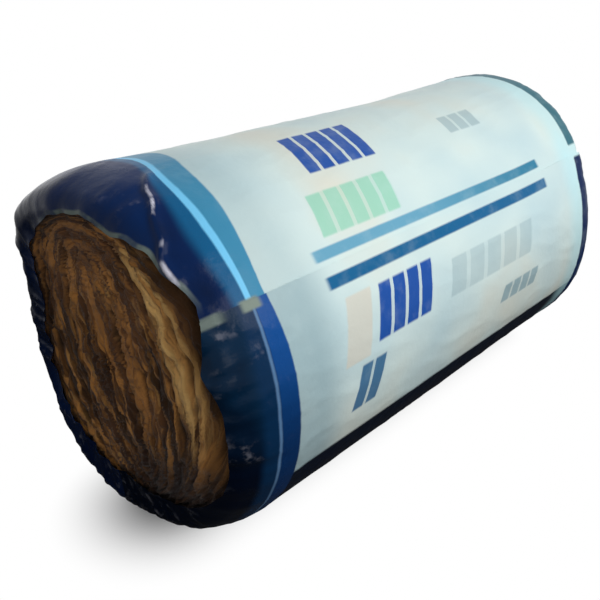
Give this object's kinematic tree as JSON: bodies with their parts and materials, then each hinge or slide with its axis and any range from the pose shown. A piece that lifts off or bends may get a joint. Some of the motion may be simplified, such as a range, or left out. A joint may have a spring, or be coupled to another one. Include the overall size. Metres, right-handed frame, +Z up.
{
  "type": "wrapped mineral wool roll",
  "caption": "Roll of brown mineral wool insulation lying on its side in a pale printed plastic film sleeve, drawn in over both ends around an opening that shows the wound wool.",
  "frame": {"origin": "on the floor, under the middle of the roll", "axes": "+X along the roll, -X at the end with the wide blue band, +Z up, -Y the side with the lap seam"},
  "size_m": [1.14, 0.6598, 0.66],
  "materials": {
    "mineral_wool": "matt brown glass wool, layered and fibrous",
    "printed_film": "glossy pale film printed with blue end bands and a pair of blue stripes"
  },
  "bodies": {
    "root": {"wool_roll": "mineral_wool", "film_sleeve": "printed_film"}
  },
  "joints": []
}
